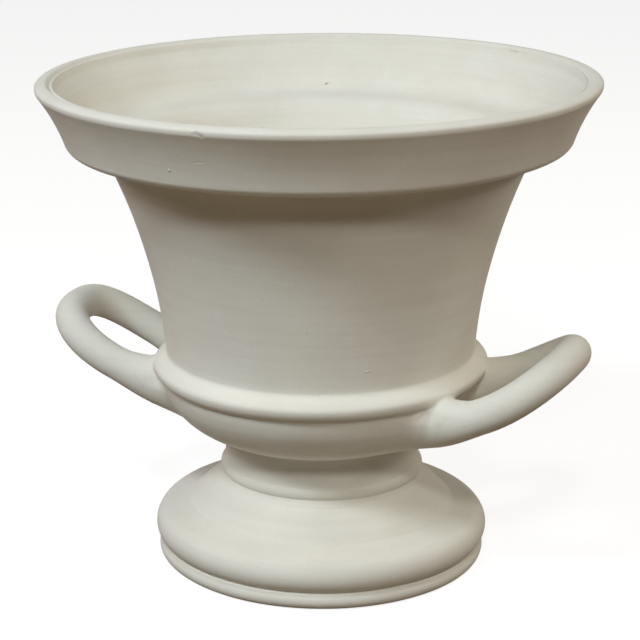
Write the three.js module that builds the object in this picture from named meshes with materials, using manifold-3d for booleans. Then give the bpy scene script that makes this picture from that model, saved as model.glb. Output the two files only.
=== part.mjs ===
// A two-handled trophy vase in matt cream ceramic, as the sections that are luted together
// before firing: foot ring, foot dome, pedestal neck, belly, waist bead, bell wall, rim collar,
// two loop handles, and a fillet of clay round each of the four handle roots.
// Millimetres, +Z up. The vase stands on z = 0, its handles lie along X and its front is -Y.
import * as THREE from "three";
import { mergeVertices } from "three/addons/utils/BufferGeometryUtils.js";
import Module from "manifold-3d";

const wasm = await Module();
wasm.setup();

// Facets
const turnFacets = 48;
const rodFacets = 12;
const rodSteps = 40;
const filletSteps = 8;

// Clay
const seam = 0.3; // slip seam between two neighbouring sections
const wall = 6.6; // wall of the collar, bell and belly

// Foot ring
const ringRadius = 73.1;
const ringWidth = 12.5;
const ringHeight = 7.6;
const ringTopEdge = 1.2;
const ringTuck = 4; // how far its face draws in towards the bottom
const ringFaceEnd = 30; // degrees that the rounded face reaches above its bulge

// Foot dome
const domeHeight = 29.3;
const domeTopRadius = 44.2;
const domeTopBow = 1.6;
const domeStepRadius = 58.6;
const domeStepDrop = 12.5; // from the top of the dome to the foot of its step
const domeStepHollow = 0.35;
const domeRollRadius = 7.8; // section of the roll round the foot
const domeRollReach = 74.4; // outermost radius of that roll
const domeRollHeight = 6.2; // centre of the roll above the dome's underside
const domeRollEnd = 84; // degrees above its centre at which the roll runs out
const domeHollowRadius = 60.5;
const domeHollowShoulder = 7;
const domeHollowBow = 3;

// Pedestal neck
const neckHeight = 20.1;
const neckTopRadius = 43.5;
const neckBoreRadius = 34;
const neckRollRadius = 45.3;
const neckRollSize = [2.4, 2.6]; // half width and half height of the rolled lower edge
const neckRollEnd = 60; // degrees above its centre at which the roll runs out
const neckCove = 1;

// Belly
const bellyHeight = 26.7; // up to the ledge under the waist bead
const bellyLedgeWidth = 2.4; // the step that the waist bead sits on
const bellyLowPull = [9.5, 0.8]; // leads the curve away from the neck
const bellyHighPull = [-0.9, -16.5]; // leads it into the ledge
const floorThickness = 7;
const floorRadius = 30;
const floorPull = [20, 1.4];
const bellyInnerPull = [5.5, -18];

// Waist bead
const waistRadius = 68; // outside of the wall behind the bead
const beadStandout = 5.6;
const beadHeight = 9.8;

// Bell wall
const bellHeight = 94.2;
const bellTopRadius = 91.8;
const bellHollow = 4.2; // depth of its inward bow

// Rim collar
const shoulderRadius = 107.4;
const shoulderRise = 3.4; // of the underside, from the bell to the shoulder's corner
const shoulderRounding = 2.4;
const collarHollow = 0.9;
const ledgeThickness = 4.2; // of the shoulder's floor
const ledgeRounding = 5;
const rimRadius = 120;
const lipHeight = 28.3; // centre of the lip above the collar's underside
const lipThickness = 7.2;
const lipCrown = 3; // top of the lip above its centre
const lipOuterEnd = -18; // degrees about its centre at which the lip meets the collar
const lipInnerEnd = 190;

// Loop handles
const handleRootDepth = 10.7; // of the buried roots, inside the waist
const handleRootDrop = 7.5; // of the buried roots, below the ledge under the bead
const handleReach = 57.9; // from the roots to the middle of the outer bend
const handleHalfWidth = 27;
const handleSpread = 0.55; // how much wider the loop is at its outer end
const handleSquareness = 2.6; // 2 is an ellipse, higher is squarer
const handleStraightRise = 11;
const handleCurledRise = 16.7;
const rodRadius = 7.45;
const rootSwell = 3.8;
const rootSwellStart = 4;
const rootSwellLength = 27;
const filletSize = 3.4; // of the clay pressed round each root
const filletEdge = 0.8; // its thickness where it runs out on the rod
const handlePlaces = [
  { side: "right", turn: -5.4, rootTilt: 0.05, twist: 0.08, sag: 2.4 },
  { side: "left", turn: 185.4, rootTilt: 0, twist: 0, sag: 0 },
];

// The bowl's lean over its foot, in degrees towards +X and +Y
const leanX = -0.54;
const leanY = -1.01;

// Heights of the sections
const domeBase = ringHeight + seam;
const domeTop = domeBase + domeHeight;
const neckBase = domeTop + seam;
const neckTop = neckBase + neckHeight;
const bellyBase = neckTop + seam;
const bellyLedge = bellyBase + bellyHeight;
const beadMiddle = bellyLedge + seam + beadHeight / 2;
const bellBase = beadMiddle + seam;
const bellTop = bellBase + bellHeight;
const collarBase = bellTop + seam;
const lipMiddle = collarBase + lipHeight;

// The belly's widest place, and the middle of the handles' buried roots
const bellyRadius = waistRadius + bellyLedgeWidth;
const handleRootRadius = waistRadius - handleRootDepth;
const handleRootHeight = bellyLedge - handleRootDrop;

const point = (radius, height) => new THREE.Vector2(radius, height);
const pulled = (from, [across, up]) => point(from.x + across, from.y + up);

// A stretch of outline that bows to the left of its direction by the given depth.
function bow(from, to, depth, steps) {
  const along = to.clone().sub(from).normalize();
  const left = new THREE.Vector2(-along.y, along.x);
  const control = from.clone().lerp(to, 0.5).addScaledVector(left, 2 * depth);
  return new THREE.QuadraticBezierCurve(from, control, to).getPoints(steps);
}

// A rounded corner: the curve starts and ends the given distance from the corner.
function rounded(before, corner, after, distance, steps) {
  const start = corner.clone().add(before.clone().sub(corner).setLength(distance));
  const end = corner.clone().add(after.clone().sub(corner).setLength(distance));
  return new THREE.QuadraticBezierCurve(start, corner, end).getPoints(steps);
}

// Part of an ellipse about a centre, from one angle in degrees to another.
function arc(centre, across, up, from, to, steps) {
  return Array.from({ length: steps + 1 }, (_, i) => {
    const angle = THREE.MathUtils.degToRad(from + ((to - from) * i) / steps);
    return point(centre.x + across * Math.cos(angle), centre.y + up * Math.sin(angle));
  });
}

function cubic(from, fromPull, to, toPull, steps) {
  const controls = [from, pulled(from, fromPull), pulled(to, toPull), to];
  return new THREE.CubicBezierCurve(...controls).getPoints(steps);
}

// Outer outlines, each from the bottom of its section to the top
function ringOutline() {
  const bulge = point(ringRadius - ringTuck, ringHeight / 2);
  const face = arc(bulge, ringTuck, ringHeight / 2, -90, ringFaceEnd, 4);
  const top = point(ringRadius, ringHeight);
  return [...face, ...rounded(bulge, top, point(0, ringHeight), ringTopEdge, 2).slice(1)];
}

function domeOutline() {
  const rollMiddle = point(domeRollReach - domeRollRadius, domeBase + domeRollHeight);
  const rollStart = -THREE.MathUtils.radToDeg(Math.asin(domeRollHeight / domeRollRadius));
  const roll = arc(rollMiddle, domeRollRadius, domeRollRadius, rollStart, domeRollEnd, 8);
  const step = point(domeStepRadius, domeTop - domeStepDrop);
  const tread = bow(roll.at(-1), step, domeStepHollow, 2).slice(1);
  const riser = bow(step, point(domeTopRadius, domeTop), -domeTopBow, 5).slice(1);
  return [...roll, ...tread, ...riser];
}

function neckOutline() {
  const [across, up] = neckRollSize;
  const roll = arc(point(neckRollRadius - across, neckBase + up), across, up, -90, neckRollEnd, 5);
  return [...roll, ...bow(roll.at(-1), point(neckTopRadius, neckTop), neckCove, 3).slice(1)];
}

function bellyOutline() {
  const low = point(neckTopRadius, bellyBase);
  const ledge = point(bellyRadius, bellyLedge);
  return cubic(low, bellyLowPull, ledge, bellyHighPull, 7);
}

function beadOutline() {
  const centre = point(waistRadius + seam, beadMiddle);
  return arc(centre, beadStandout, beadHeight / 2, -90, 90, 8);
}

function bellOutline() {
  const beadTop = beadMiddle + beadHeight / 2;
  const flare = bow(point(waistRadius, beadTop), point(bellTopRadius, bellTop), bellHollow, 7);
  return [point(waistRadius, bellBase), ...flare];
}

function collarOutline() {
  const seat = point(bellTopRadius, collarBase);
  const corner = point(shoulderRadius, collarBase + shoulderRise);
  const lip = lipArc(lipOuterEnd, 90);
  const turn = rounded(seat, corner, lip[0], shoulderRounding, 3);
  return [seat, ...turn, ...bow(turn.at(-1), lip[0], collarHollow, 4).slice(1, -1), ...lip];
}

function lipArc(from, to) {
  const half = lipThickness / 2;
  return arc(point(rimRadius - half, lipMiddle), half, lipCrown, from, to, 5);
}

// Inner outlines, each from the top of its section to the bottom
function collarHollowOutline() {
  const lip = lipArc(90, lipInnerEnd).slice(1);
  const corner = point(shoulderRadius - wall, collarBase + shoulderRise + ledgeThickness);
  const edge = point(bellTopRadius - wall, collarBase + ledgeThickness);
  const foot = point(bellTopRadius - wall, collarBase);
  const turn = rounded(lip.at(-1), corner, edge, ledgeRounding, 4);
  const side = bow(lip.at(-1), turn[0], -collarHollow, 3).slice(1);
  return [...lip, ...side, ...turn.slice(1), ...rounded(corner, edge, foot, ledgeThickness, 4)];
}

function bellHollowOutline() {
  const top = point(bellTopRadius - wall, bellTop);
  const waist = point(waistRadius - wall, beadMiddle + beadHeight / 2);
  return [...bow(top, waist, -bellHollow, 6), point(waistRadius - wall, bellBase)];
}

function bellyHollowOutline() {
  const rim = point(waistRadius - wall, beadMiddle);
  const floor = point(floorRadius, bellyBase + floorThickness);
  return [...cubic(rim, bellyInnerPull, floor, floorPull, 6), point(0, floor.y)];
}

function domeHollowOutline() {
  const top = point(neckBoreRadius, domeTop);
  const shoulder = point(neckBoreRadius, domeTop - domeHollowShoulder);
  const springing = point(domeHollowRadius, domeBase + domeHollowShoulder);
  return [top, ...bow(shoulder, springing, domeHollowBow, 4), point(domeHollowRadius, domeBase)];
}

const clay = { color: 0xe4e0d0, roughness: 0.85, metalness: 0 };
const vase = new THREE.Group();

function add(name, geometry) {
  geometry.computeVertexNormals();
  const mesh = new THREE.Mesh(geometry, new THREE.MeshStandardMaterial(clay));
  mesh.name = name;
  vase.add(mesh);
}

// A solid turned about the vase's axis. Its outline runs anticlockwise, up the outside.
function turned(outline) {
  const closed = outline[0].x === 0 ? outline : [...outline, outline[0]];
  return new THREE.LatheGeometry(closed, turnFacets).rotateX(Math.PI / 2);
}

function toSolid(geometry) {
  const bare = geometry.clone();
  bare.deleteAttribute("normal");
  bare.deleteAttribute("uv");
  const merged = mergeVertices(bare, 1e-4);
  const vertProperties = merged.attributes.position.array;
  const triVerts = new Uint32Array(merged.index.array);
  return new wasm.Manifold(new wasm.Mesh({ numProp: 3, vertProperties, triVerts }));
}

function toGeometry(solid) {
  const { vertProperties, triVerts } = solid.getMesh();
  return new THREE.BufferGeometry()
    .setAttribute("position", new THREE.BufferAttribute(vertProperties, 3))
    .setIndex(new THREE.BufferAttribute(triVerts, 1));
}

// Tips the bowl over its foot. The neck takes up the lean, so its two seams stay even.
function leaned(geometry) {
  const across = Math.tan(THREE.MathUtils.degToRad(leanX));
  const along = Math.tan(THREE.MathUtils.degToRad(leanY));
  const middle = (neckBase + neckTop) / 2;
  const places = geometry.attributes.position;
  for (let i = 0; i < places.count; i++) {
    const [x, y, z] = [places.getX(i), places.getY(i), places.getZ(i)];
    const share = THREE.MathUtils.clamp((z - neckBase) / neckHeight, 0, 1);
    const rise = share * (z - middle);
    places.setXYZ(i, x + across * rise, y + along * rise, z - share * (across * x + along * y));
  }
  return geometry;
}

// One arm, bend and arm of a loop handle, whose roots are buried in the belly. The tilt at its
// roots and the twist at its outer end are rises across the loop, and the sag is along its arms.
class LoopPath extends THREE.Curve {
  constructor({ rootTilt, twist, sag }) {
    super();
    Object.assign(this, { rootTilt, twist, sag });
  }

  getPoint(t, target = new THREE.Vector3()) {
    const angle = Math.PI * (t - 0.5);
    const out = Math.max(0, Math.cos(angle)) ** (2 / handleSquareness);
    const aside = Math.sign(t - 0.5) * Math.abs(Math.sin(angle)) ** (2 / handleSquareness);
    const y = handleHalfWidth * aside * (1 + handleSpread * (out - 0.5));
    const level = handleStraightRise * out + handleCurledRise * out * out;
    const across = y * THREE.MathUtils.lerp(this.rootTilt, this.twist, out);
    const rise = level + across - this.sag * out * (1 - out);
    return target.set(handleRootRadius + handleReach * out, y, handleRootHeight + rise);
  }
}

// The part of a path between two lengths along it, in millimetres.
class Stretch extends THREE.Curve {
  constructor(path, from, to) {
    super();
    Object.assign(this, { path, from, to, whole: path.getLength() });
  }

  getPoint(t, target) {
    return this.path.getPointAt(THREE.MathUtils.lerp(this.from, this.to, t) / this.whole, target);
  }
}

// A round rod swept along a path, with its radius given along the way, closed at both ends.
function sweptRod(path, radiusAt, steps) {
  const frames = path.computeFrenetFrames(steps, false);
  const corners = [];
  for (let i = 0; i <= steps; i++) {
    const centre = path.getPointAt(i / steps);
    for (let j = 0; j < rodFacets; j++) {
      const angle = (2 * Math.PI * j) / rodFacets;
      const radius = radiusAt(centre, i / steps);
      const corner = centre.clone();
      corner.addScaledVector(frames.normals[i], radius * Math.cos(angle));
      corners.push(corner.addScaledVector(frames.binormals[i], radius * Math.sin(angle)));
    }
  }
  const faces = [];
  for (let j = 0; j < rodFacets; j++) {
    const next = (j + 1) % rodFacets;
    for (let i = 0; i < steps; i++) {
      const here = i * rodFacets;
      const ahead = here + rodFacets;
      faces.push(here + j, here + next, ahead + next, here + j, ahead + next, ahead + j);
    }
    const last = steps * rodFacets;
    if (j > 0 && next > 0) faces.push(0, next, j, last, last + j, last + next);
  }
  return new THREE.BufferGeometry().setFromPoints(corners).setIndex(faces);
}

// The radius of a handle's rod, which swells towards its roots.
function rodRadiusAt(centre) {
  const beyond = centre.x - handleRootRadius - rootSwellStart;
  return rodRadius + rootSwell * (1 - THREE.MathUtils.smoothstep(beyond, 0, rootSwellLength));
}

// The body's outside from the neck to the top of the bell, filled, and grown by the seam.
function bodyBlank() {
  const [across, up] = [beadStandout + seam, beadHeight / 2 + seam];
  const bead = arc(point(waistRadius + seam, beadMiddle), across, up, -90, 90, 8);
  const low = [...neckOutline(), ...bellyOutline(), point(bellyRadius, bellyLedge + seam)];
  const blanks = [grown(low), bead, grown(bellOutline())].map((outline) => toSolid(filled(outline)));
  return blanks.reduce((whole, blank) => whole.add(blank));
}

function grown(outline) {
  return outline.map((here, i) => {
    const before = outline[Math.max(0, i - 1)];
    const after = outline[Math.min(outline.length - 1, i + 1)];
    const along = after.clone().sub(before).normalize();
    return point(here.x + seam * along.y, here.y - seam * along.x);
  });
}

function filled(outline) {
  return turned([point(0, outline[0].y), ...outline, point(0, outline.at(-1).y)]);
}

function placed(geometry, turn) {
  return toSolid(geometry.rotateZ(THREE.MathUtils.degToRad(turn)));
}

// The length along a handle's path at which it leaves the belly.
function emergence(path) {
  const whole = path.getLength();
  const steps = 400;
  for (let i = 0; i < steps / 2; i++) {
    const here = path.getPointAt(i / steps);
    if (Math.hypot(here.x, here.y) > bellyRadius) return (whole * i) / steps;
  }
  throw new Error("the handle's root never leaves the belly");
}

// The clay round one root: a hollow quarter round between the belly and the rod.
function filletRod(path, from, outward) {
  const depth = 2.5 * filletSize;
  const length = 2 * filletSize;
  const stretch = new Stretch(path, from - outward * depth, from + outward * length);
  return sweptRod(stretch, (centre, share) => {
    const beyond = THREE.MathUtils.clamp((share * (depth + length) - depth) / length, 0, 1);
    const thickness = THREE.MathUtils.lerp(filletSize, filletEdge, beyond * (2 - beyond));
    return rodRadiusAt(centre) + seam + thickness;
  }, filletSteps);
}

function addHandle({ side, turn, ...bend }, blank) {
  const path = new LoopPath(bend);
  const rod = placed(sweptRod(path, rodRadiusAt, rodSteps), turn);
  const cover = placed(sweptRod(path, (centre) => rodRadiusAt(centre) + seam, rodSteps), turn);
  add(`handle_${side}`, leaned(toGeometry(rod.subtract(blank))));
  const near = emergence(path);
  const far = path.getLength() - near;
  const facing = side === "right" ? ["front", "back"] : ["back", "front"];
  [[near, 1], [far, -1]].forEach(([from, outward], i) => {
    const fillet = placed(filletRod(path, from, outward), turn).subtract(blank).subtract(cover);
    add(`root_fillet_${side}_${facing[i]}`, leaned(toGeometry(fillet)));
  });
}

add("foot_ring", turned([
  point(ringRadius - ringWidth, 0),
  ...ringOutline(),
  point(ringRadius - ringWidth, ringHeight),
]));
add("foot_dome", turned([...domeOutline(), ...domeHollowOutline()]));
add("pedestal_neck", leaned(turned([
  point(neckBoreRadius, neckBase),
  ...neckOutline(),
  point(neckBoreRadius, neckTop),
])));
add("belly_bowl", leaned(turned([
  point(0, bellyBase),
  ...bellyOutline(),
  point(waistRadius, bellyLedge),
  point(waistRadius, beadMiddle),
  ...bellyHollowOutline(),
])));
add("waist_bead", leaned(turned(beadOutline())));
add("bell_wall", leaned(turned([...bellOutline(), ...bellHollowOutline()])));
add("rim_collar", leaned(turned([...collarOutline(), ...collarHollowOutline()])));

const blank = bodyBlank();
handlePlaces.forEach((place) => addHandle(place, blank));

// The frame's origin lies on the floor, under the middle of the whole vase.
const extent = new THREE.Box3().setFromObject(vase).getCenter(new THREE.Vector3());
vase.position.set(-extent.x, -extent.y, 0);

export default vase;
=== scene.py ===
"""A two-handled trophy vase in dead-matt cream ceramic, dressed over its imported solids.

Shapes are worked out in millimetres about the axis of the foot and written to the meshes in
metres. The bowl leans a little over the foot, as the fired vase does.
"""
import math

import bpy
import numpy as np
from mathutils import Matrix, Vector


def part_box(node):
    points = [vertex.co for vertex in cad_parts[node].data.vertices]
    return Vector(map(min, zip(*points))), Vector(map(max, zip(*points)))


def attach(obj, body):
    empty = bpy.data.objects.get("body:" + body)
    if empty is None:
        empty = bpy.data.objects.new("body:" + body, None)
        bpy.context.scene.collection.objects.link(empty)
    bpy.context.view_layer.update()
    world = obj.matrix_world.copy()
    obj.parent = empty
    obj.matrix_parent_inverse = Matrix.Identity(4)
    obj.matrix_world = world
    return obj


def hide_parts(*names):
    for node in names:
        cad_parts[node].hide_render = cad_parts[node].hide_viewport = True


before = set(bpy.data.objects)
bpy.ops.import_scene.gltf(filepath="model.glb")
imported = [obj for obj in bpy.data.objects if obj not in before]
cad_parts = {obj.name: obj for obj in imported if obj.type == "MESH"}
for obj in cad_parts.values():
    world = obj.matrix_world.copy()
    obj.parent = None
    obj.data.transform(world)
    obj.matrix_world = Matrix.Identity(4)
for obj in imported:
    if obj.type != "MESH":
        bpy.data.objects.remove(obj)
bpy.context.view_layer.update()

MM = 0.001

# Camera, as it stood in front of the vase, in millimetres and degrees about the foot's axis
CAMERA_AZIMUTH = 22.0
CAMERA_DISTANCE = 804.7
CAMERA_HEIGHT = 343.7
CAMERA_YAW = -0.087
CAMERA_PITCH = 16.419
CAMERA_ROLL = 0.476
CAMERA_LENS = 106.8
SENSOR_WIDTH = 36.0

# Names in this file: a pull is the way from the end of a curve to its handle, as radius and
# height, and angles of arcs are in degrees, with 0 outward and 90 up

# Foot ring
RING_RADIUS = 73.1
RING_WIDTH = 12.5
RING_HEIGHT = 7.6
RING_TUCK = 4.0
RING_FACE_ANGLES = (-90, 38)
RING_TOP_SET_IN = 0.35
RING_TOP_EDGE = 0.8

# Foot dome
DOME_HEIGHT = 29.3
DOME_TOP_RADIUS = 44.2
DOME_STEP_RADIUS = 58.6
DOME_STEP_DROP = 12.5
DOME_STEP_EASE = (0.6, -0.5)
DOME_TREAD_PULLS = ((-3.4, 0.85), (1.9, -0.6))
DOME_RISER_PULLS = ((-1.1, 0.7), (5.2, -2.4))
DOME_ROLL_RADIUS = 7.8
DOME_ROLL_REACH = 74.4
DOME_ROLL_HEIGHT = 6.2
DOME_ROLL_END = 76
DOME_HOLLOW_RADIUS = 60.5
DOME_HOLLOW_SHOULDER = 7.0
DOME_HOLLOW_BOW = 3.0

# Pedestal neck
NECK_HEIGHT = 20.1
NECK_TOP_RADIUS = 43.5
NECK_BORE_RADIUS = 34.0
NECK_ROLL_RADIUS = 45.3
NECK_ROLL_SIZE = (3.3, 3.5)
NECK_ROLL_ANGLES = (-38, 48)
NECK_COVE_PULLS = ((-1.3, 1.5), (-1.2, -5.0))
NECK_TOE_RADIUS = 46.5
NECK_TOE_DROP = 1.25
NECK_TOE_TURN = (-0.1, -0.35)
NECK_HEEL = (2, 1)

# Belly
BELLY_HEIGHT = 26.7
BELLY_RADIUS = 70.4
BELLY_LOW_PULL = (9.0, 1.8)
BELLY_HIGH_PULL = (-0.9, -16.5)
FLOOR_THICKNESS = 7.0
FLOOR_RADIUS = 30.0
FLOOR_PULL = (20.0, 1.4)
BELLY_INNER_PULL = (5.5, -18.0)
BELLY_SEAT_RISE = 2.0

# Waist bead. The slip under it starts at a height and ends at a radius and height.
WAIST_RADIUS = 68.0
BEAD_STANDOUT = 5.6
BEAD_HEIGHT = 9.8
BEAD_DROOP = 0.7
BEAD_WIDEST_DROP = 0.5
SLIP_START = 83.2
SLIP_END = (71.6, 85.4)
BEAD_FACE_PULL = (0.0, 2.4)
BEAD_TOP_PULL = (2.3, -2.2)
BEAD_FILLET_REACH = 1.3
BEAD_FILLET_RISE = 0.9

# Bell wall
BELL_HEIGHT = 94.2
BELL_TOP_RADIUS = 91.8
BELL_HOLLOW = 4.2
BELL_SEAT_DROP = 1.0
SWEEP_STEPS = 12

# Rim collar
WALL = 6.6
COLLAR_LAP = 0.2
SHOULDER_RADIUS = 107.4
SHOULDER_RISE = 3.4
SHOULDER_ROUNDING = 2.4
COLLAR_HOLLOW = 0.9
LEDGE_THICKNESS = 4.2
LEDGE_ROUNDING = 6.0
LEDGE_FLARE = 2.0
RIM_RADIUS = 120.0
LIP_TOP = 31.3
LIP_CROWN = (3.9, 2.1)
LIP_CROWN_END = 98
LIP_UNDERCUT = 3.8
LIP_UNDERCUT_END = -27.0
LIP_GROOVE = (6.5, 1.5)
LIP_GROOVE_PULLS = ((-1.0, -0.05), (0.7, -0.05))
LIP_INNER_EDGE = (7.5, 1.0)
LIP_EDGE_ROUNDING = 0.35
LIP_INNER_FALL = (0.9, 3.4)

# Loop handles
HANDLE_ROOT_RADIUS = 57.3
HANDLE_ROOT_HEIGHT = 77.1
HANDLE_REACH = 57.9
HANDLE_HALF_WIDTH = 27.0
HANDLE_SPREAD = 0.55
HANDLE_SQUARENESS = 2.6
HANDLE_STRAIGHT_RISE = 11.0
HANDLE_CURLED_RISE = 16.7
ARM_TWIST = 0.05
ROD_RADIUS = 7.45
ROOT_SWELL = 3.8
ROOT_SWELL_START = 4.0
ROOT_SWELL_LENGTH = 27.0
ROOT_BURIAL = 14.0
ROOT_BURIAL_STEPS = 20
ROOT_BURIAL_LEAST = 0.05
# Its turn about the axis, the tilt at its roots, the twist at its outer end and its sag
HANDLE_PLACES = {"right": (-5.4, 0.05, 0.08, 2.4), "left": (185.4, 0.0, 0.0, 0.0)}

# Soft joins between the handles' roots and the body
BLEND_BELLY = 9.0
BLEND_BEAD = 2.4
BLEND_TURN = (79.0, 86.0)
BEAD_SOFT_TOP = (87.5, 91.0)
BLEND_REACH = 1.6
BLEND_PASSES = 4
BLEND_LEAST_SLOPE = 0.05
BLEND_SINK = 0.15
BURIED = 2.4
OUTER_SKIN = 1.0

# The bowl's lean over its foot, in degrees towards +X and +Y
LEAN = (-0.54, -1.01)

# Unevenness: its size, its waves around, the height of one radian and its start, in millimetres
# and radians, and the radius inside which it fades
WOBBLES = ((0.07, 3, 31, 0.6), (0.05, 5, -19, 2.1), (0.03, 9, 11, 4.0), (0.04, 2, 7.3, 0.0))
WOBBLE_FADE = 30

# Lamps: how far they stand from the point that they aim at, and its height, in metres. Each has
# its name, azimuth from the camera, elevation, diameter in metres, watts and colour.
LAMP_REACH = 1.7
LAMP_AIM = 0.11
LAMPS = (
    ("window", -58, 40, 0.3, 7.8, (0.8, 0.94, 1.0)),
    ("key", -3, 38, 0.22, 6.9, (0.98, 1.0, 0.95)),
    ("left_soft", -30, 50, 0.35, 7.0, (0.84, 0.92, 1.0)),
    ("right_soft", 40, 42, 0.7, 3.5, (1.0, 0.9, 0.7)),
    ("right_side", 65, 30, 0.3, 2.5, (1.0, 0.86, 0.88)),
    ("left_side", -80, 30, 0.3, 2.9, (1.0, 0.85, 0.88)),
    ("right_rear", 115, 22, 0.3, 5.2, (1.0, 0.95, 0.79)),
    ("left_rear", -115, 22, 0.3, 2.5, (1.0, 0.7, 0.5)),
)

# The floor and the world, as they light the vase and as they are seen, in metres and as colours
FLOOR_HALF = 6.0
FLOOR_BOUNCE = (0.21, 0.15, 0.095, 1)
FLOOR_SEEN = (0.28, 0.28, 0.28, 1)
FLOOR_GLOW = 0.86
SKY_BOUNCE = (1.0, 0.9, 0.78, 1)
SKY_BOUNCE_STRENGTH = 0.02
WHITE = (1, 1, 1)

# Clay. Its base goes between two tones, and each layer over it multiplies it by its own two
# tones. A layer has its noise's scale, detail and stretch, two places with their tones, and
# its strength.
EVEN = (1, 1, 1)
TURNED = (9, 9, 420)
CLAY_BASE = (14, 3, EVEN, (0.35, (0.83, 0.817, 0.757)), (0.68, (0.797, 0.782, 0.718)))
CLAY_LAYERS = {
    "clouds": (42, 5, EVEN, (0.3, (0.955, 0.95, 0.935)), (0.7, WHITE), 1.0),
    "grain": (1400, 3, EVEN, (0.3, (0.955, 0.95, 0.94)), (0.6, WHITE), 0.8),
    "streaks": (1, 4, TURNED, (0.36, (0.955, 0.95, 0.94)), (0.62, WHITE), 0.7),
    "specks": (620, 1, EVEN, (0.195, (0.62, 0.56, 0.47)), (0.225, WHITE), 0.4),
}
ROUGHNESS = (0.72, 0.9)
ROUGHNESS_NOISE = (240, 3, EVEN)
SPECULAR = 0.15
RELIEF_STREAKS = (1, 4, TURNED)
RELIEF_STREAKS_SHARE = 0.55
RELIEF_GRAIN = (1100, 4, EVEN)
RELIEF_STRENGTH = 0.35
RELIEF_DEPTH = 0.00012

# Small marks of making and wear: where each starts and ends and its reach in millimetres, its
# tone against the clay, and how far it stands out. The bump is the height, in millimetres, that
# a value of one stands for, and the tint is the power of the tone in red, green and blue.
MARK_BUMP = 0.5
MARK_TINT = (1.0, 1.1, 1.3)
MARKS = (
    ("rim_nick", (-0.6, -119.8, 211.2), (1.2, -119.9, 210.2), 1.5, 0.86, -0.25),
    ("rim_nick_lip", (-2.4, -119.6, 211.8), (-1.2, -119.6, 212.4), 1.0, 1.0, 0.2),
    ("collar_pimple", (-17.6, -109.2, 193.7), (-17.4, -109.2, 193.9), 0.9, 1.06, 0.22),
    ("collar_scratch", (-5.5, -112.6, 198.4), (-1.0, -113.0, 199.1), 0.5, 1.08, -0.08),
    ("collar_smear", (-40.0, -106.0, 201.0), (-31.0, -109.5, 202.4), 0.9, 1.05, 0.03),
    ("inside_tick", (-36.4, 94.9, 194.6), (-35.0, 95.5, 196.3), 0.8, 0.42, -0.1),
    ("inside_tail", (-35.0, 95.5, 195.9), (-32.6, 96.4, 196.2), 0.65, 0.55, -0.05),
    ("rim_scuff", (54.0, 98.6, 216.6), (58.5, 96.0, 216.5), 1.3, 0.8, -0.05),
    ("rim_scuff_end", (57.0, 96.9, 216.4), (64.0, 92.3, 216.5), 0.9, 0.86, -0.05),
    ("edge_line", (-110.5, -25.0, 213.9), (-108.2, -33.5, 213.9), 0.5, 0.7, -0.1),
    ("bell_pimple", (41.9, -52.8, 104.4), (43.2, -51.9, 104.6), 0.7, 1.05, 0.16),
    ("bell_line", (27.4, -66.6, 129.8), (36.5, -62.2, 130.1), 0.5, 1.04, 0.03),
    ("dome_mark", (22.0, -59.4, 22.2), (25.5, -58.0, 22.4), 0.6, 1.05, 0.06),
    ("ring_chip", (13.2, -67.4, 7.4), (14.6, -67.0, 7.7), 0.9, 0.9, -0.2),
    ("neck_chip", (2.2, -42.5, 37.9), (4.0, -42.4, 37.6), 0.8, 0.92, -0.2),
)

# The seam between two sections, as in the solids
SEAM = 0.3

# Meshes: the angle from which an edge is sharp, the faces around and along, and the longest
# edge up each outline
SHARP_EDGE = 32.0
AROUND = 320
ROD_AROUND = 88
ROD_ALONG = 300
PATH_STEPS = 4000
OUTLINE_STEPS = {
    "foot_ring": 1.3,
    "foot_dome": 1.3,
    "pedestal_neck": 0.8,
    "belly_bowl": 0.9,
    "waist_bead": 0.6,
    "bell_wall": 1.3,
    "rim_collar": 1.0,
}

# Lengths that count as nothing
SAME_POINT = 1e-6
ON_SURFACE = 1e-4
NOTHING = 1e-9

# Heights of the sections
DOME_BASE = RING_HEIGHT + SEAM
DOME_TOP = DOME_BASE + DOME_HEIGHT
NECK_BASE = DOME_TOP + SEAM
NECK_TOP = NECK_BASE + NECK_HEIGHT
BELLY_BASE = NECK_TOP + SEAM
BELLY_LEDGE = BELLY_BASE + BELLY_HEIGHT
BEAD_MIDDLE = BELLY_LEDGE + SEAM + BEAD_HEIGHT / 2
BEAD_TOP = BEAD_MIDDLE + BEAD_HEIGHT / 2
BELL_TOP = BEAD_MIDDLE + SEAM + BELL_HEIGHT
COLLAR_BASE = BELL_TOP + SEAM

ring_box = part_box("foot_ring")
FOOT_AXIS = [(ring_box[0][i] + ring_box[1][i]) / 2 / MM for i in (0, 1)]


# Outlines are arrays of radius and height

def at(radius, height):
    return np.array([radius, height], dtype=float)


def bezier(*controls, steps):
    t = np.linspace(0, 1, steps + 1)[:, None]
    points = [np.broadcast_to(c, (steps + 1, 2)).astype(float) for c in controls]
    while len(points) > 1:
        points = [a + (b - a) * t for a, b in zip(points, points[1:])]
    return points[0]


def bow(start, end, depth, steps):
    """A stretch that bows to the left of its direction by the given depth."""
    along = (end - start) / np.linalg.norm(end - start)
    left = at(-along[1], along[0])
    return bezier(start, (start + end) / 2 + 2 * depth * left, end, steps=steps)


def rounded(before, corner, after, distance, steps):
    to_before = (before - corner) / np.linalg.norm(before - corner)
    to_after = (after - corner) / np.linalg.norm(after - corner)
    return bezier(corner + distance * to_before, corner, corner + distance * to_after, steps=steps)


def arc(centre, across, up, start, end, steps):
    angles = np.radians(np.linspace(start, end, steps + 1))
    return np.column_stack([centre[0] + across * np.cos(angles), centre[1] + up * np.sin(angles)])


def cubic(start, start_pull, end, end_pull, steps):
    return bezier(start, start + start_pull, end + end_pull, end, steps=steps)


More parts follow.
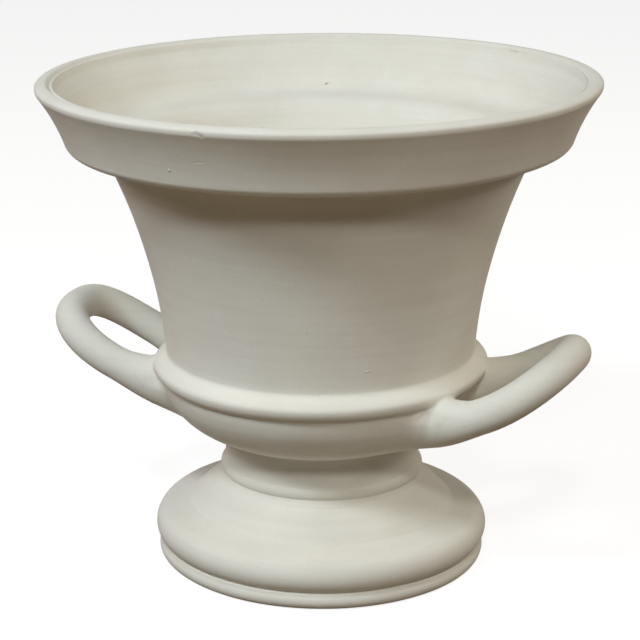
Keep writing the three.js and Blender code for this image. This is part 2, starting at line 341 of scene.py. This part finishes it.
def joined(*stretches):
    """One outline from several, with points that repeat left out."""
    points = np.vstack([np.atleast_2d(s) for s in stretches])
    keep = np.r_[True, np.linalg.norm(np.diff(points, axis=0), axis=1) > SAME_POINT]
    return points[keep]


def evened(outline, step):
    """The outline with long stretches divided, so that no edge is longer than the step."""
    parts = [outline[:1]]
    for a, b in zip(outline, outline[1:]):
        count = max(1, math.ceil(np.linalg.norm(b - a) / step))
        parts.append(a + (b - a) * np.linspace(0, 1, count + 1)[1:, None])
    return np.vstack(parts)


def smooth(share):
    """Eases a share from 0 to 1 at both ends."""
    return share * share * (3 - 2 * share)


def ring_outline():
    bulge = at(RING_RADIUS - RING_TUCK, RING_HEIGHT / 2)
    face = arc(bulge, RING_TUCK, RING_HEIGHT / 2, *RING_FACE_ANGLES, steps=18)
    top = at(face[-1][0] - RING_TOP_SET_IN, RING_HEIGHT)
    edge = rounded(face[-1], top, at(0, RING_HEIGHT), RING_TOP_EDGE, steps=8)
    bore = RING_RADIUS - RING_WIDTH
    return joined(at(bore, 0), face, edge, at(bore, RING_HEIGHT), at(bore, 0))


def dome_outline():
    middle = at(DOME_ROLL_REACH - DOME_ROLL_RADIUS, DOME_BASE + DOME_ROLL_HEIGHT)
    start = -math.degrees(math.asin((DOME_ROLL_HEIGHT + SEAM) / DOME_ROLL_RADIUS))
    roll = arc(middle, DOME_ROLL_RADIUS, DOME_ROLL_RADIUS, start, DOME_ROLL_END, steps=32)
    step = at(DOME_STEP_RADIUS, DOME_TOP - DOME_STEP_DROP)
    crown = at(DOME_TOP_RADIUS, DOME_TOP)
    tread_start, tread_end = DOME_TREAD_PULLS
    tread = cubic(roll[-1], tread_start, step + at(*DOME_STEP_EASE), tread_end, steps=12)
    riser_start, riser_end = DOME_RISER_PULLS
    riser = cubic(tread[-1], riser_start, crown, riser_end, steps=24)
    shoulder = at(NECK_BORE_RADIUS, DOME_TOP - DOME_HOLLOW_SHOULDER)
    springing = at(DOME_HOLLOW_RADIUS, DOME_BASE + DOME_HOLLOW_SHOULDER)
    hollow = bow(shoulder, springing, DOME_HOLLOW_BOW, steps=16)
    foot = at(DOME_HOLLOW_RADIUS, DOME_BASE - SEAM)
    return joined(roll, tread, riser, at(NECK_BORE_RADIUS, DOME_TOP), hollow, foot, roll[0])


def neck_outline():
    across, up = NECK_ROLL_SIZE
    centre = at(NECK_ROLL_RADIUS - across, NECK_BASE + up)
    roll = arc(centre, across, up, *NECK_ROLL_ANGLES, steps=14)
    toe = at(NECK_TOE_RADIUS, DOME_TOP - NECK_TOE_DROP)
    turn = at(NECK_ROLL_RADIUS, DOME_TOP) + at(*NECK_TOE_TURN)
    fillet = bezier(toe, turn, roll[0], steps=8)
    top = at(NECK_TOP_RADIUS, NECK_TOP + SEAM)
    start_pull, end_pull = NECK_COVE_PULLS
    cove = cubic(roll[-1], start_pull, top, end_pull, steps=24)
    bore = NECK_BORE_RADIUS
    heel = at(bore, NECK_BASE - SEAM)
    return joined(heel, toe - at(*NECK_HEEL), fillet, roll, cove, at(bore, NECK_TOP), heel)


def belly_face():
    """From the neck up to the slip that fills the crease under the bead."""
    low = at(NECK_TOP_RADIUS, BELLY_BASE)
    ledge = at(BELLY_RADIUS, BELLY_LEDGE)
    face = cubic(low, BELLY_LOW_PULL, ledge, BELLY_HIGH_PULL, steps=44)
    face = face[face[:, 1] < SLIP_START]
    return joined(face, bezier(face[-1], ledge, at(*SLIP_END), steps=12))


def belly_outline():
    rim = at(WAIST_RADIUS - WALL, BEAD_MIDDLE)
    floor = at(FLOOR_RADIUS, BELLY_BASE + FLOOR_THICKNESS)
    inside = cubic(rim, BELLY_INNER_PULL, floor, FLOOR_PULL, steps=30)
    seat = at(WAIST_RADIUS, BELLY_LEDGE + BELLY_SEAT_RISE)
    return joined(at(0, BELLY_BASE), belly_face(), seat, at(WAIST_RADIUS, BEAD_MIDDLE),
                  inside, at(0, floor[1]))


def bead_face():
    """The bead, round below its widest place and more evenly sloped above it."""
    centre = at(WAIST_RADIUS + SEAM, BEAD_MIDDLE - BEAD_WIDEST_DROP)
    half = BEAD_HEIGHT / 2
    low = arc(centre, BEAD_STANDOUT, half + BEAD_DROOP - BEAD_WIDEST_DROP, -90, 0, steps=20)
    top = centre + at(0, half + BEAD_WIDEST_DROP)
    return joined(low, cubic(low[-1], BEAD_FACE_PULL, top, BEAD_TOP_PULL, steps=24))


def bead_outline():
    face = bead_face()
    back = WAIST_RADIUS - SEAM
    return joined(at(back, face[0][1]), face, at(back, face[-1][1]), at(back, face[0][1]))


def bell_face():
    """From the soft corner on the bead up to the collar."""
    bead = bead_face()
    last = np.flatnonzero(bead[:, 0] > WAIST_RADIUS + SEAM + BEAD_FILLET_REACH)[-1]
    corner, along = bead[last], bead[last] - bead[last - 1]
    turn = corner + along * (corner[0] - WAIST_RADIUS - SEAM) / -along[0]
    flare = bow(at(WAIST_RADIUS, BEAD_TOP), at(BELL_TOP_RADIUS, BELL_TOP), BELL_HOLLOW, steps=90)
    rest = flare[flare[:, 1] > BEAD_TOP + BEAD_FILLET_RISE]
    sweep = bezier(corner, turn, rest[0], steps=SWEEP_STEPS)
    return joined(sweep, rest)


def bell_outline():
    face = bell_face()
    top = at(BELL_TOP_RADIUS - WALL, BELL_TOP + SEAM)
    waist = at(WAIST_RADIUS - WALL, BEAD_TOP)
    foot = at(WAIST_RADIUS - WALL, BEAD_MIDDLE)
    corner = at(BELL_TOP_RADIUS + COLLAR_LAP, BELL_TOP + SEAM)
    seat = at(WAIST_RADIUS, BEAD_MIDDLE)
    behind_bead = at(WAIST_RADIUS, face[0][1] - BELL_SEAT_DROP)
    inside = bow(top, waist, -BELL_HOLLOW, steps=60)
    return joined(seat, behind_bead, face, corner, inside, foot, seat)


def lip_outline():
    """The lip from the collar's face, over its crown and a fine groove, to its inner edge."""
    across, up = LIP_CROWN
    top = COLLAR_BASE + LIP_TOP
    widest = top - up
    centre = at(RIM_RADIUS - LIP_UNDERCUT, widest)
    under = arc(centre, LIP_UNDERCUT, LIP_UNDERCUT, LIP_UNDERCUT_END, 0, steps=12)
    outer = arc(at(RIM_RADIUS - across, widest), across, up, 0, LIP_CROWN_END, steps=24)
    groove = at(RIM_RADIUS - LIP_GROOVE[0], top - LIP_GROOVE[1])
    edge = at(RIM_RADIUS - LIP_INNER_EDGE[0], top - LIP_INNER_EDGE[1])
    below = edge - at(*LIP_INNER_FALL)
    start_pull, end_pull = LIP_GROOVE_PULLS
    dip = cubic(outer[-1], start_pull, groove, end_pull, steps=10)
    inner_edge = rounded(groove, edge, below, LIP_EDGE_ROUNDING, steps=6)
    return joined(under, outer, dip, inner_edge, below)


def collar_outline():
    seat = at(BELL_TOP_RADIUS + COLLAR_LAP, COLLAR_BASE)
    corner = at(SHOULDER_RADIUS, COLLAR_BASE + SHOULDER_RISE)
    lip = lip_outline()
    turn = rounded(seat, corner, lip[0], SHOULDER_ROUNDING, steps=12)
    face = bow(turn[-1], lip[0], COLLAR_HOLLOW, steps=40)
    inner_corner = at(SHOULDER_RADIUS - WALL, COLLAR_BASE + SHOULDER_RISE + LEDGE_THICKNESS)
    edge = at(BELL_TOP_RADIUS - WALL + LEDGE_FLARE, COLLAR_BASE + LEDGE_THICKNESS)
    foot = at(BELL_TOP_RADIUS - WALL, COLLAR_BASE)
    inner_turn = rounded(lip[-1], inner_corner, edge, LEDGE_ROUNDING, steps=16)
    side = bow(lip[-1], inner_turn[0], -COLLAR_HOLLOW, steps=30)
    shoulder = rounded(inner_corner, edge, foot, LEDGE_THICKNESS, steps=14)
    return joined(seat, turn, face, lip, side, inner_turn, shoulder, foot, seat)


def root_zone():
    """The body's outside near the handles' roots, as one line from the neck to the bell."""
    bead = bead_face()
    above_slip = bead[bead[:, 1] > SLIP_END[1]]
    return joined(belly_face(), above_slip, bell_face()[SWEEP_STEPS + 2:])


def handle_path(root_tilt, twist, sag, steps):
    """The middle of a handle's rod, evenly spaced, from one buried root to the other."""
    angle = np.pi * (np.linspace(0, 1, PATH_STEPS + 1) - 0.5)
    power = 2 / HANDLE_SQUARENESS
    out = np.maximum(0, np.cos(angle)) ** power
    aside = np.sign(angle) * np.abs(np.sin(angle)) ** power
    y = HANDLE_HALF_WIDTH * aside * (1 + HANDLE_SPREAD * (out - 0.5))
    arm_twist = ARM_TWIST * 4 * out * (1 - out) if root_tilt else 0
    across = y * (root_tilt + (twist - root_tilt) * out + arm_twist)
    level = HANDLE_STRAIGHT_RISE * out + HANDLE_CURLED_RISE * out ** 2
    rise = level + across - sag * out * (1 - out)
    reach = HANDLE_ROOT_RADIUS + HANDLE_REACH * out
    points = np.column_stack([reach, y, HANDLE_ROOT_HEIGHT + rise])
    lengths = np.r_[0, np.cumsum(np.linalg.norm(np.diff(points, axis=0), axis=1))]
    even = np.linspace(0, lengths[-1], steps + 1)
    return np.column_stack([np.interp(even, lengths, points[:, i]) for i in range(3)])


def buried_further(path):
    """The path with both ends carried on, straight, deeper into the belly."""
    steps = np.linspace(1, ROOT_BURIAL_LEAST, ROOT_BURIAL_STEPS)[:, None] * ROOT_BURIAL
    first, last = path[0] - path[2], path[-1] - path[-3]
    before = path[0] + steps * first / np.linalg.norm(first)
    after = path[-1] + steps[::-1] * last / np.linalg.norm(last)
    return np.vstack([before, path, after])


def rod_radius(path):
    beyond = path[:, 0] - HANDLE_ROOT_RADIUS - ROOT_SWELL_START
    share = np.clip(beyond / ROOT_SWELL_LENGTH, 0, 1)
    return ROD_RADIUS + ROOT_SWELL * (1 - smooth(share))


def turned_by(points, degrees):
    c, s = math.cos(math.radians(degrees)), math.sin(math.radians(degrees))
    x, y = points[:, 0], points[:, 1]
    return np.column_stack([c * x - s * y, s * x + c * y, points[:, 2]])


class Rod:
    """A handle's rod: its path in the part's frame, its radius and its distance field."""

    def __init__(self, turn, root_tilt, twist, sag):
        path = buried_further(handle_path(root_tilt, twist, sag, ROD_ALONG))
        self.radius = rod_radius(path)
        self.path = turned_by(path, turn)

    def distance(self, points):
        """Distance outside the rod's surface and the outward direction, for each point."""
        start, along = self.path[:-1], np.diff(self.path, axis=0)
        span = np.sum(along ** 2, axis=1)
        best = np.full(len(points), np.inf)
        direction = np.zeros_like(points)
        for a, d, s, r0, r1 in zip(start, along, span, self.radius, self.radius[1:]):
            t = np.clip((points - a) @ d / s, 0, 1)
            away = points - a - t[:, None] * d
            length = np.linalg.norm(away, axis=1)
            gap = length - (r0 + (r1 - r0) * t)
            closer = gap < best
            best[closer] = gap[closer]
            direction[closer] = away[closer] / np.maximum(length[closer, None], NOTHING)
        return best, direction


class Body:
    """The turned body near the roots: distance and outward direction from its outline."""

    def __init__(self, outline):
        self.outline = outline
        order = np.argsort(outline[:, 1], kind="stable")
        heights = outline[order, 1]
        self.heights = np.unique(heights)
        self.radii = np.array([outline[order, 0][heights == h].max() for h in self.heights])

    def distance(self, points):
        r = np.hypot(points[:, 0], points[:, 1])
        flat = np.column_stack([r, points[:, 2]])
        best = np.full(len(points), np.inf)
        away = np.zeros_like(flat)
        for a, b in zip(self.outline, self.outline[1:]):
            d = b - a
            t = np.clip((flat - a) @ d / (d @ d), 0, 1)
            gap = flat - a - t[:, None] * d
            length = np.linalg.norm(gap, axis=1)
            closer = length < best
            best[closer] = length[closer]
            away[closer] = gap[closer] / np.maximum(length[closer, None], NOTHING)
            touching = closer & (length < ON_SURFACE)
            away[touching] = at(d[1], -d[0]) / np.linalg.norm(d)
        within = r < np.interp(points[:, 2], self.heights, self.radii)
        inside = within & (best > ON_SURFACE)
        best[inside] *= -1
        away[inside] *= -1
        outward = points[:, :2] / np.maximum(r[:, None], NOTHING)
        return best, np.column_stack([away[:, :1] * outward, away[:, 1]])


def blend_width(z):
    """The width of the soft join at a height: wide on the belly and narrow on the bead."""
    low, high = BLEND_TURN
    share = np.clip((z - low) / (high - low), 0, 1)
    return BLEND_BELLY + (BLEND_BEAD - BLEND_BELLY) * smooth(share)


def blended(points, own, other):
    """Moves the points of one form onto its soft join with another.

    Points well inside the other form stay where they are, as do the inside of the bowl and its
    hidden underside. Points just inside the other form follow the join a little below its
    surface, so that the two skins cross once.
    """
    moved = points.copy()
    depth, _ = other.distance(points)
    skin, _ = own.distance(points)
    shown = (np.abs(skin) < OUTER_SKIN) & (points[:, 2] > BELLY_BASE + OUTER_SKIN)
    near = np.flatnonzero((depth < BLEND_BELLY) & (depth > -2 * BLEND_REACH) & shown)
    place = points[near].copy()
    width = blend_width(place[:, 2])
    for _ in range(BLEND_PASSES):
        a, to_a = own.distance(place)
        b, to_b = other.distance(place)
        h = np.clip(1 - np.abs(a - b) / width, 0, 1)
        value = np.minimum(a, b) - h * h * width / 4
        share = np.where(a < b, h / 2, 1 - h / 2)[:, None]
        slope = to_a * (1 - share) + to_b * share
        steep = np.maximum(np.sum(slope ** 2, axis=1), BLEND_LEAST_SLOPE)
        place -= slope * (value / steep)[:, None]
    inside = np.clip(-depth[near], 0, None)
    unit = slope / np.maximum(np.linalg.norm(slope, axis=1, keepdims=True), NOTHING)
    place -= unit * (BLEND_SINK * inside)[:, None]
    keep = np.clip((2 * BLEND_REACH - inside) / BLEND_REACH, 0, 1)[:, None]
    moved[near] = points[near] * (1 - keep) + place * keep
    return moved


def leaned(points):
    """Tips the bowl over its foot. The neck takes up the lean."""
    across, along = (math.tan(math.radians(v)) for v in LEAN)
    middle = (NECK_BASE + NECK_TOP) / 2
    x, y, z = points.T
    share = np.clip((z - NECK_BASE) / NECK_HEIGHT, 0, 1)
    rise = share * (z - middle)
    height = z - share * (across * x + along * y)
    return np.column_stack([x + across * rise, y + along * rise, height])


def wobbled(points):
    """The slight unevenness of a hand-finished casting, under a fifth of a millimetre."""
    x, y, z = points.T
    angle = np.arctan2(y, x)
    swell = 0
    for size, waves, length, start in WOBBLES:
        swell = swell + size * np.sin(waves * angle + z / length + start)
    outward = np.column_stack([np.cos(angle), np.sin(angle)])
    fade = np.clip(np.hypot(x, y) / WOBBLE_FADE, 0, 1)
    return np.column_stack([points[:, :2] + outward * (swell * fade)[:, None], z])


def mesh_object(name, points, faces):
    placed = points + np.array([FOOT_AXIS[0], FOOT_AXIS[1], 0])
    mesh = bpy.data.meshes.new(name)
    mesh.from_pydata((placed * MM).tolist(), [], faces)
    mesh.validate()
    mesh.polygons.foreach_set("use_smooth", [True] * len(mesh.polygons))
    mesh.set_sharp_from_angle(angle=math.radians(SHARP_EDGE))
    mesh.update()
    piece = bpy.data.objects.new(name, mesh)
    bpy.context.scene.collection.objects.link(piece)
    return piece


def turned(name, outline, step, soften):
    """A closed solid turned about the axis from an outline that runs up its outside."""
    fine = evened(outline, step)
    closed = fine[0][0] > SAME_POINT
    rows = fine[:-1] if closed else fine[1:-1]
    angles = np.linspace(0, 2 * np.pi, AROUND, endpoint=False)
    x = rows[:, :1] * np.cos(angles)
    y = rows[:, :1] * np.sin(angles)
    z = np.broadcast_to(rows[:, 1:], x.shape)
    points = np.stack([x, y, z], axis=2).reshape(-1, 3)
    faces = []
    count = len(rows)
    for i in range(count if closed else count - 1):
        here, above = i * AROUND, (i + 1) % count * AROUND
        for j in range(AROUND):
            k = (j + 1) % AROUND
            faces.append((here + j, here + k, above + k, above + j))
    if soften is not None:
        points = soften(points)
    points = wobbled(points)
    if not closed:
        bottom, top = len(points), len(points) + 1
        points = np.vstack([points, [0, 0, fine[0][1]], [0, 0, fine[-1][1]]])
        last = (count - 1) * AROUND
        for j in range(AROUND):
            k = (j + 1) % AROUND
            faces.append((bottom, k, j))
            faces.append((top, last + j, last + k))
    return mesh_object(name, leaned(points), faces)


def handle(name, rod, body):
    """A swept rod whose roots run softly out on the body."""
    path, radius = rod.path, rod.radius
    tangent = np.gradient(path, axis=0)
    tangent /= np.linalg.norm(tangent, axis=1, keepdims=True)
    flat = np.cross(np.array([0, 0, 1.0]), tangent)
    flat /= np.linalg.norm(flat, axis=1, keepdims=True)
    upright = np.cross(tangent, flat)
    angles = np.linspace(0, 2 * np.pi, ROD_AROUND, endpoint=False)
    ring = (np.cos(angles)[None, :, None] * flat[:, None, :]
            + np.sin(angles)[None, :, None] * upright[:, None, :])
    points = (path[:, None, :] + radius[:, None, None] * ring).reshape(-1, 3)
    count = len(path)
    faces = []
    for i in range(count - 1):
        here, ahead = i * ROD_AROUND, (i + 1) * ROD_AROUND
        for j in range(ROD_AROUND):
            k = (j + 1) % ROD_AROUND
            faces.append((here + j, here + k, ahead + k, ahead + j))
    faces.append(tuple(range(ROD_AROUND - 1, -1, -1)))
    faces.append(tuple((count - 1) * ROD_AROUND + j for j in range(ROD_AROUND)))
    points = blended(points, rod, body)
    depth, outward = body.distance(points)
    points += outward * np.clip(-depth - BURIED, 0, None)[:, None]
    return mesh_object(name, leaned(wobbled(points)), faces)


def clay_material():
    material = bpy.data.materials.new("cream_bisque")
    material.use_nodes = True
    nodes, links = material.node_tree.nodes, material.node_tree.links
    shader = nodes["Principled BSDF"]
    place = nodes.new("ShaderNodeTexCoord")

    def noise(scale, detail, stretch):
        mapping = nodes.new("ShaderNodeMapping")
        mapping.inputs["Scale"].default_value = stretch
        links.new(place.outputs["Object"], mapping.inputs["Vector"])
        texture = nodes.new("ShaderNodeTexNoise")
        texture.inputs["Scale"].default_value = scale
        texture.inputs["Detail"].default_value = detail
        links.new(mapping.outputs["Vector"], texture.inputs["Vector"])
        return texture.outputs["Fac"]

    def ramp(source, *stops):
        node = nodes.new("ShaderNodeValToRGB")
        elements = node.color_ramp.elements
        for element, (position, colour) in zip(elements, stops):
            element.position = position
            element.color = (*colour, 1)
        links.new(source, node.inputs["Fac"])
        return node.outputs["Color"]

    def multiplied(colour):
        node = nodes.new("ShaderNodeMix")
        node.data_type = "RGBA"
        node.blend_type = "MULTIPLY"
        links.new(colour, node.inputs["A"])
        return node

    def stroke(start, end, reach):
        """One near the line between two places, falling to nothing at its reach."""
        start, end = Vector(start) * MM, Vector(end) * MM
        line = end - start
        beyond = nodes.new("ShaderNodeVectorMath")
        beyond.operation = "SUBTRACT"
        beyond.inputs[1].default_value = start
        links.new(place.outputs["Object"], beyond.inputs[0])
        share = nodes.new("ShaderNodeVectorMath")
        share.operation = "DOT_PRODUCT"
        share.inputs[1].default_value = line / line.length_squared
        links.new(beyond.outputs["Vector"], share.inputs[0])
        held = nodes.new("ShaderNodeClamp")
        links.new(share.outputs["Value"], held.inputs["Value"])
        along = nodes.new("ShaderNodeVectorMath")
        along.operation = "SCALE"
        along.inputs[0].default_value = line
        links.new(held.outputs["Result"], along.inputs["Scale"])
        away = nodes.new("ShaderNodeVectorMath")
        away.operation = "DISTANCE"
        links.new(beyond.outputs["Vector"], away.inputs[0])
        links.new(along.outputs["Vector"], away.inputs[1])
        near = nodes.new("ShaderNodeMapRange")
        near.interpolation_type = "SMOOTHSTEP"
        near.inputs["From Max"].default_value = reach * MM
        near.inputs["To Min"].default_value = 1
        near.inputs["To Max"].default_value = 0
        links.new(away.outputs["Value"], near.inputs["Value"])
        return near.outputs["Result"]

    scale, detail, stretch, low, high = CLAY_BASE
    colour = ramp(noise(scale, detail, stretch), low, high)
    for scale, detail, stretch, low, high, strength in CLAY_LAYERS.values():
        layer = multiplied(colour)
        layer.inputs["Factor"].default_value = strength
        links.new(ramp(noise(scale, detail, stretch), low, high), layer.inputs["B"])
        colour = layer.outputs["Result"]
    marks_height = None
    for _, start, end, reach, tone, standout in MARKS:
        near = stroke(start, end, reach)
        toned = multiplied(colour)
        toned.inputs["B"].default_value = (*(tone ** share for share in MARK_TINT), 1)
        links.new(near, toned.inputs["Factor"])
        colour = toned.outputs["Result"]
        raised = nodes.new("ShaderNodeMath")
        raised.operation = "MULTIPLY_ADD"
        raised.inputs[1].default_value = standout / MARK_BUMP
        links.new(near, raised.inputs[0])
        if marks_height is not None:
            links.new(marks_height, raised.inputs[2])
        marks_height = raised.outputs["Value"]
    links.new(colour, shader.inputs["Base Color"])

    rough = nodes.new("ShaderNodeMapRange")
    rough.inputs["To Min"].default_value = ROUGHNESS[0]
    rough.inputs["To Max"].default_value = ROUGHNESS[1]
    links.new(noise(*ROUGHNESS_NOISE), rough.inputs["Value"])
    links.new(rough.outputs["Result"], shader.inputs["Roughness"])
    shader.inputs["Specular IOR Level"].default_value = SPECULAR

    height = nodes.new("ShaderNodeMath")
    height.operation = "MULTIPLY_ADD"
    height.inputs[1].default_value = RELIEF_STREAKS_SHARE
    links.new(noise(*RELIEF_STREAKS), height.inputs[0])
    links.new(noise(*RELIEF_GRAIN), height.inputs[2])
    bump = nodes.new("ShaderNodeBump")
    bump.inputs["Strength"].default_value = RELIEF_STRENGTH
    bump.inputs["Distance"].default_value = RELIEF_DEPTH
    links.new(height.outputs["Value"], bump.inputs["Height"])
    marked = nodes.new("ShaderNodeBump")
    marked.inputs["Strength"].default_value = 1.0
    marked.inputs["Distance"].default_value = MARK_BUMP * MM
    links.new(marks_height, marked.inputs["Height"])
    links.new(bump.outputs["Normal"], marked.inputs["Normal"])
    links.new(marked.outputs["Normal"], shader.inputs["Normal"])
    return material


def build_vase():
    body = Body(root_zone())
    rods = {side: Rod(*place) for side, place in HANDLE_PLACES.items()}

    def soften(points):
        for rod in rods.values():
            points = blended(points, body, rod)
        return points

    def soften_low(points):
        low, high = BEAD_SOFT_TOP
        share = np.clip((high - points[:, 2:]) / (high - low), 0, 1)
        return points + (soften(points) - points) * share

    outlines = {
        "foot_ring": ring_outline(),
        "foot_dome": dome_outline(),
        "pedestal_neck": neck_outline(),
        "belly_bowl": belly_outline(),
        "waist_bead": bead_outline(),
        "bell_wall": bell_outline(),
        "rim_collar": collar_outline(),
    }
    softened = {"belly_bowl": soften, "waist_bead": soften_low}
    clay = clay_material()
    for node, outline in outlines.items():
        piece = turned(f"{node}_skin", outline, OUTLINE_STEPS[node], softened.get(node))
        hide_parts(node)
        dress(piece, clay)
    for side, rod in rods.items():
        piece = handle(f"handle_{side}_skin", rod, body)
        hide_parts(f"handle_{side}", f"root_fillet_{side}_front", f"root_fillet_{side}_back")
        dress(piece, clay)


def dress(piece, material):
    piece.data.materials.append(material)
    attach(piece, "root")


def in_part_frame(vector):
    """Turns a direction or place from the camera's frame into the part's."""
    return Matrix.Rotation(math.radians(CAMERA_AZIMUTH), 3, "Z") @ Vector(vector)


def make_camera():
    yaw, pitch, roll = (math.radians(v) for v in (CAMERA_YAW, CAMERA_PITCH, CAMERA_ROLL))
    level = math.cos(pitch)
    forward = Vector((math.sin(yaw) * level, math.cos(yaw) * level, -math.sin(pitch)))
    right = Vector((math.cos(yaw), -math.sin(yaw), 0))
    down = forward.cross(right)
    level_right, level_down = right.copy(), down.copy()
    right = level_right * math.cos(roll) - level_down * math.sin(roll)
    down = level_right * math.sin(roll) + level_down * math.cos(roll)
    axes = [in_part_frame(v) for v in (right, -down, -forward)]
    eye = in_part_frame((0, -CAMERA_DISTANCE * MM, CAMERA_HEIGHT * MM))
    eye += Vector((FOOT_AXIS[0] * MM, FOOT_AXIS[1] * MM, 0))
    data = bpy.data.cameras.new("camera")
    data.lens = CAMERA_LENS
    data.sensor_width = SENSOR_WIDTH
    data.sensor_fit = "HORIZONTAL"
    camera = bpy.data.objects.new("camera", data)
    rotation = Matrix(axes).transposed().to_4x4()
    camera.matrix_world = Matrix.Translation(eye) @ rotation
    bpy.context.scene.collection.objects.link(camera)
    bpy.context.scene.camera = camera


def softbox(name, azimuth, elevation, size, power, colour):
    """A round lamp aimed at the middle of the vase, with its azimuth taken from the camera's."""
    data = bpy.data.lights.new(name, "AREA")
    data.shape = "DISK"
    data.size = size
    data.energy = power
    data.color = colour
    lamp = bpy.data.objects.new(name, data)
    a, e = math.radians(azimuth), math.radians(elevation)
    level = LAMP_REACH * math.cos(e)
    place = (level * math.sin(a), -level * math.cos(a), LAMP_REACH * math.sin(e))
    lamp.location = in_part_frame(place) + Vector((0, 0, LAMP_AIM))
    aim = Vector((0, 0, LAMP_AIM)) - lamp.location
    lamp.rotation_euler = aim.to_track_quat("-Z", "Y").to_euler()
    bpy.context.scene.collection.objects.link(lamp)


def rays_of_background(nodes, links):
    """Which rays see the white studio: the camera's, and those of gloss and glass."""
    rays = nodes.new("ShaderNodeLightPath")
    seen = rays.outputs["Is Camera Ray"]
    for other in ("Is Glossy Ray", "Is Transmission Ray"):
        either = nodes.new("ShaderNodeMath")
        either.operation = "MAXIMUM"
        links.new(seen, either.inputs[0])
        links.new(rays.outputs[other], either.inputs[1])
        seen = either.outputs["Value"]
    return seen


def make_floor():
    mesh = bpy.data.meshes.new("floor")
    corners = [(x * FLOOR_HALF, y * FLOOR_HALF, 0) for x, y in ((-1, -1), (1, -1), (1, 1), (-1, 1))]
    mesh.from_pydata(corners, [], [(0, 1, 2, 3)])
    floor = bpy.data.objects.new("floor", mesh)
    bpy.context.scene.collection.objects.link(floor)
    material = bpy.data.materials.new("pale_floor")
    material.use_nodes = True
    nodes, links = material.node_tree.nodes, material.node_tree.links
    nodes.clear()
    output = nodes.new("ShaderNodeOutputMaterial")
    matt = nodes.new("ShaderNodeBsdfDiffuse")
    matt.inputs["Color"].default_value = FLOOR_BOUNCE
    seen = nodes.new("ShaderNodeBsdfDiffuse")
    seen.inputs["Color"].default_value = FLOOR_SEEN
    glow = nodes.new("ShaderNodeEmission")
    glow.inputs["Strength"].default_value = FLOOR_GLOW
    both = nodes.new("ShaderNodeAddShader")
    links.new(seen.outputs["BSDF"], both.inputs[0])
    links.new(glow.outputs["Emission"], both.inputs[1])
    choose = nodes.new("ShaderNodeMixShader")
    links.new(rays_of_background(nodes, links), choose.inputs["Fac"])
    links.new(matt.outputs["BSDF"], choose.inputs[1])
    links.new(both.outputs["Shader"], choose.inputs[2])
    links.new(choose.outputs["Shader"], output.inputs["Surface"])
    mesh.materials.append(material)


def make_world():
    world = bpy.data.worlds.new("studio")
    bpy.context.scene.world = world
    world.use_nodes = True
    nodes, links = world.node_tree.nodes, world.node_tree.links
    nodes.clear()
    output = nodes.new("ShaderNodeOutputWorld")
    soft = nodes.new("ShaderNodeBackground")
    soft.inputs["Color"].default_value = SKY_BOUNCE
    soft.inputs["Strength"].default_value = SKY_BOUNCE_STRENGTH
    white = nodes.new("ShaderNodeBackground")
    white.inputs["Strength"].default_value = 1
    white.inputs["Color"].default_value = (*WHITE, 1)
    choose = nodes.new("ShaderNodeMixShader")
    links.new(rays_of_background(nodes, links), choose.inputs["Fac"])
    links.new(soft.outputs["Background"], choose.inputs[1])
    links.new(white.outputs["Background"], choose.inputs[2])
    links.new(choose.outputs["Shader"], output.inputs["Surface"])


build_vase()
make_camera()
make_floor()
make_world()
for lamp in LAMPS:
    softbox(*lamp)
bpy.context.scene.view_settings.view_transform = "Standard"
